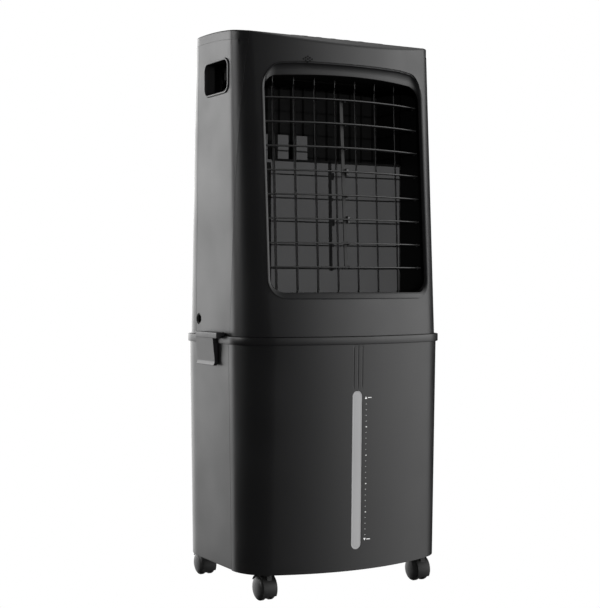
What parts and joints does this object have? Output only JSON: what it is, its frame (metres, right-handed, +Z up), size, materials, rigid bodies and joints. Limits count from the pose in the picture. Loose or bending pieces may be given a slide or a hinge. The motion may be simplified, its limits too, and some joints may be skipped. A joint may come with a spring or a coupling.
{
  "type": "evaporative cooler",
  "caption": "Tall mobile evaporative air cooler: louvred outlet over a wheeled water tank with a level window, side latches and a rear filter.",
  "frame": {"origin": "on the floor under the centre of the footprint, casters touching the floor", "axes": "+Z up, the louvred front faces -Y, +X to the right seen from the front"},
  "size_m": [0.5132, 0.3934, 1.15],
  "materials": {
    "housing": "satin black moulded plastic",
    "inner": "matt black moulded plastic",
    "louvre": "satin black moulded plastic",
    "plate": "matt grey sheet",
    "pad": "corrugated cellulose honeycomb",
    "window": "translucent light grey",
    "hose": "milky flexible tube",
    "rubber": "black rubber",
    "wheel": "hard black nylon tread",
    "metal": "bare metal can"
  },
  "bodies": {
    "cabinet": {"front_housing": "housing", "left_side_panel": "housing", "right_side_panel": "housing", "left_handle_cup": "inner", "right_handle_cup": "inner", "top_cover": "housing", "control_panel": "inner", "rear_frame": "housing", "cooling_pad": "pad", "water_distributor": "inner", "base_tray": "inner", "scroll_housing": "inner", "outlet_duct": "inner", "scroll_front_plate": "plate", "fan_motor": "metal", "louvre_frame": "inner", "swing_motor": "metal", "water_tank": "housing", "tank_front_panel": "housing", "level_window": "window", "water_inlet": "inner", "water_pump": "rubber", "pump_hose": "hose", "cord_gland": "rubber"},
    "louvre_blade_1": {"louvre_blade_1": "louvre"},
    "louvre_blade_2": {"louvre_blade_2": "louvre"},
    "louvre_blade_3": {"louvre_blade_3": "louvre"},
    "louvre_blade_4": {"louvre_blade_4": "louvre"},
    "louvre_blade_5": {"louvre_blade_5": "louvre"},
    "louvre_blade_6": {"louvre_blade_6": "louvre"},
    "louvre_blade_7": {"louvre_blade_7": "louvre"},
    "louvre_blade_8": {"louvre_blade_8": "louvre"},
    "swing_vane_1": {"swing_vane_1": "inner"},
    "swing_vane_2": {"swing_vane_2": "inner"},
    "swing_vane_3": {"swing_vane_3": "inner"},
    "swing_vane_4": {"swing_vane_4": "inner"},
    "swing_vane_5": {"swing_vane_5": "inner"},
    "swing_vane_6": {"swing_vane_6": "inner"},
    "swing_vane_7": {"swing_vane_7": "inner"},
    "button_1": {"button_1": "louvre"},
    "button_2": {"button_2": "louvre"},
    "button_3": {"button_3": "louvre"},
    "button_4": {"button_4": "louvre"},
    "button_5": {"button_5": "louvre"},
    "blade_link_rod": {"blade_link_rod": "louvre"},
    "vane_link_bar": {"vane_link_bar": "inner"},
    "impeller": {"impeller": "inner"},
    "filter_frame": {"filter_frame": "housing"},
    "left_latch": {"left_latch": "housing"},
    "right_latch": {"right_latch": "housing"},
    "drain_plug": {"drain_plug": "rubber"},
    "caster_fork_front_left": {"caster_fork_front_left": "inner"},
    "caster_wheels_front_left": {"caster_wheels_front_left": "wheel"},
    "caster_fork_front_right": {"caster_fork_front_right": "inner"},
    "caster_wheels_front_right": {"caster_wheels_front_right": "wheel"},
    "caster_fork_rear_left": {"caster_fork_rear_left": "inner"},
    "caster_wheels_rear_left": {"caster_wheels_rear_left": "wheel"},
    "caster_fork_rear_right": {"caster_fork_rear_right": "inner"},
    "caster_wheels_rear_right": {"caster_wheels_rear_right": "wheel"}
  },
  "joints": [
    {"name": "blade_tilt_1", "type": "hinge", "parent": "cabinet", "child": "louvre_blade_1", "pos_m": [0, -0.08768, 1.006], "axis": [1, 0, 0], "range_deg": [-30, 30]},
    {"name": "blade_tilt_2", "type": "hinge", "parent": "cabinet", "child": "louvre_blade_2", "pos_m": [0, -0.0908, 0.9574], "axis": [1, 0, 0], "range_deg": [-30, 30]},
    {"name": "blade_tilt_3", "type": "hinge", "parent": "cabinet", "child": "louvre_blade_3", "pos_m": [0, -0.09393, 0.9088], "axis": [1, 0, 0], "range_deg": [-30, 30]},
    {"name": "blade_tilt_4", "type": "hinge", "parent": "cabinet", "child": "louvre_blade_4", "pos_m": [0, -0.09706, 0.8602], "axis": [1, 0, 0], "range_deg": [-30, 30]},
    {"name": "blade_tilt_5", "type": "hinge", "parent": "cabinet", "child": "louvre_blade_5", "pos_m": [0, -0.10018, 0.8116], "axis": [1, 0, 0], "range_deg": [-30, 30]},
    {"name": "blade_tilt_6", "type": "hinge", "parent": "cabinet", "child": "louvre_blade_6", "pos_m": [0, -0.10331, 0.763], "axis": [1, 0, 0], "range_deg": [-30, 30]},
    {"name": "blade_tilt_7", "type": "hinge", "parent": "cabinet", "child": "louvre_blade_7", "pos_m": [0, -0.10644, 0.7144], "axis": [1, 0, 0], "range_deg": [-30, 30]},
    {"name": "blade_tilt_8", "type": "hinge", "parent": "cabinet", "child": "louvre_blade_8", "pos_m": [0, -0.10956, 0.6658], "axis": [1, 0, 0], "range_deg": [-30, 30]},
    {"name": "blade_rod_pivot", "type": "hinge", "parent": "louvre_blade_1", "child": "blade_link_rod", "pos_m": [-0.0055, -0.10959, 1.006], "axis": [1, 0, 0], "range_deg": [-30, 30]},
    {"name": "vane_swing_1", "type": "hinge", "parent": "cabinet", "child": "swing_vane_1", "pos_m": [-0.147, -0.092, 0.62], "axis": [0, 0.0433, 0.9991], "range_deg": [0, 74]},
    {"name": "vane_swing_2", "type": "hinge", "parent": "cabinet", "child": "swing_vane_2", "pos_m": [-0.098, -0.092, 0.62], "axis": [0, 0.0433, 0.9991], "range_deg": [0, 74]},
    {"name": "vane_swing_3", "type": "hinge", "parent": "cabinet", "child": "swing_vane_3", "pos_m": [-0.049, -0.092, 0.62], "axis": [0, 0.0433, 0.9991], "range_deg": [0, 74]},
    {"name": "vane_swing_4", "type": "hinge", "parent": "cabinet", "child": "swing_vane_4", "pos_m": [0, -0.092, 0.62], "axis": [0, 0.0433, 0.9991], "range_deg": [0, 74]},
    {"name": "vane_swing_5", "type": "hinge", "parent": "cabinet", "child": "swing_vane_5", "pos_m": [0.049, -0.092, 0.62], "axis": [0, 0.0433, 0.9991], "range_deg": [0, 74]},
    {"name": "vane_swing_6", "type": "hinge", "parent": "cabinet", "child": "swing_vane_6", "pos_m": [0.098, -0.092, 0.62], "axis": [0, 0.0433, 0.9991], "range_deg": [0, 74]},
    {"name": "vane_swing_7", "type": "hinge", "parent": "cabinet", "child": "swing_vane_7", "pos_m": [0.147, -0.092, 0.62], "axis": [0, 0.0433, 0.9991], "range_deg": [0, 74]},
    {"name": "vane_bar_pivot", "type": "hinge", "parent": "swing_vane_1", "child": "vane_link_bar", "pos_m": [-0.13858, -0.0616, 1.0634], "axis": [0, 0.0433, 0.9991], "range_deg": [-74, 0]},
    {"name": "impeller_spin", "type": "hinge", "parent": "cabinet", "child": "impeller", "pos_m": [0.015, 0, 0.725], "axis": [0, 1, 0], "continuous": true},
    {"name": "press_button_1", "type": "slide", "parent": "cabinet", "child": "button_1", "axis": [0, 0.1305, -0.9914], "range_m": [0, 0.0015], "stiffness_N_per_m": 600, "springref_m": -0.0008},
    {"name": "press_button_2", "type": "slide", "parent": "cabinet", "child": "button_2", "axis": [0, 0.1305, -0.9914], "range_m": [0, 0.0015], "stiffness_N_per_m": 600, "springref_m": -0.0008},
    {"name": "press_button_3", "type": "slide", "parent": "cabinet", "child": "button_3", "axis": [0, 0.1305, -0.9914], "range_m": [0, 0.0015], "stiffness_N_per_m": 600, "springref_m": -0.0008},
    {"name": "press_button_4", "type": "slide", "parent": "cabinet", "child": "button_4", "axis": [0, 0.1305, -0.9914], "range_m": [0, 0.0015], "stiffness_N_per_m": 600, "springref_m": -0.0008},
    {"name": "press_button_5", "type": "slide", "parent": "cabinet", "child": "button_5", "axis": [0, 0.1305, -0.9914], "range_m": [0, 0.0015], "stiffness_N_per_m": 600, "springref_m": -0.0008},
    {"name": "left_latch_hinge", "type": "hinge", "parent": "cabinet", "child": "left_latch", "pos_m": [-0.2435, 0.01, 0.5302], "axis": [0, 1, 0], "range_deg": [0, 60]},
    {"name": "right_latch_hinge", "type": "hinge", "parent": "cabinet", "child": "right_latch", "pos_m": [0.2435, 0.01, 0.5302], "axis": [0, -1, 0], "range_deg": [0, 60]},
    {"name": "filter_slide", "type": "slide", "parent": "cabinet", "child": "filter_frame", "axis": [0, 0.9995, 0.0305], "range_m": [0, 0.06]},
    {"name": "drain_plug_pull", "type": "slide", "parent": "cabinet", "child": "drain_plug", "axis": [0, 1, 0], "range_m": [0, 0.03]},
    {"name": "swivel_front_left", "type": "hinge", "parent": "cabinet", "child": "caster_fork_front_left", "pos_m": [-0.1845, -0.124, 0.055], "axis": [0, 0, 1], "continuous": true},
    {"name": "roll_front_left", "type": "hinge", "parent": "caster_fork_front_left", "child": "caster_wheels_front_left", "pos_m": [-0.1845, -0.11, 0.025], "axis": [1, 0, 0], "continuous": true},
    {"name": "swivel_front_right", "type": "hinge", "parent": "cabinet", "child": "caster_fork_front_right", "pos_m": [0.1845, -0.124, 0.055], "axis": [0, 0, 1], "continuous": true},
    {"name": "roll_front_right", "type": "hinge", "parent": "caster_fork_front_right", "child": "caster_wheels_front_right", "pos_m": [0.1845, -0.11, 0.025], "axis": [1, 0, 0], "continuous": true},
    {"name": "swivel_rear_left", "type": "hinge", "parent": "cabinet", "child": "caster_fork_rear_left", "pos_m": [-0.1845, 0.153, 0.055], "axis": [0, 0, 1], "continuous": true},
    {"name": "roll_rear_left", "type": "hinge", "parent": "caster_fork_rear_left", "child": "caster_wheels_rear_left", "pos_m": [-0.1845, 0.167, 0.025], "axis": [1, 0, 0], "continuous": true},
    {"name": "swivel_rear_right", "type": "hinge", "parent": "cabinet", "child": "caster_fork_rear_right", "pos_m": [0.1845, 0.153, 0.055], "axis": [0, 0, 1], "continuous": true},
    {"name": "roll_rear_right", "type": "hinge", "parent": "caster_fork_rear_right", "child": "caster_wheels_rear_right", "pos_m": [0.1845, 0.167, 0.025], "axis": [1, 0, 0], "continuous": true}
  ],
  "couplings": [
    {"joint": "blade_tilt_2", "follows": "blade_tilt_1", "ratio": 1},
    {"joint": "blade_tilt_3", "follows": "blade_tilt_1", "ratio": 1},
    {"joint": "blade_tilt_4", "follows": "blade_tilt_1", "ratio": 1},
    {"joint": "blade_tilt_5", "follows": "blade_tilt_1", "ratio": 1},
    {"joint": "blade_tilt_6", "follows": "blade_tilt_1", "ratio": 1},
    {"joint": "blade_tilt_7", "follows": "blade_tilt_1", "ratio": 1},
    {"joint": "blade_tilt_8", "follows": "blade_tilt_1", "ratio": 1},
    {"joint": "blade_rod_pivot", "follows": "blade_tilt_1", "ratio": -1},
    {"joint": "vane_swing_2", "follows": "vane_swing_1", "ratio": 1},
    {"joint": "vane_swing_3", "follows": "vane_swing_1", "ratio": 1},
    {"joint": "vane_swing_4", "follows": "vane_swing_1", "ratio": 1},
    {"joint": "vane_swing_5", "follows": "vane_swing_1", "ratio": 1},
    {"joint": "vane_swing_6", "follows": "vane_swing_1", "ratio": 1},
    {"joint": "vane_swing_7", "follows": "vane_swing_1", "ratio": 1},
    {"joint": "vane_bar_pivot", "follows": "vane_swing_1", "ratio": -1}
  ]
}
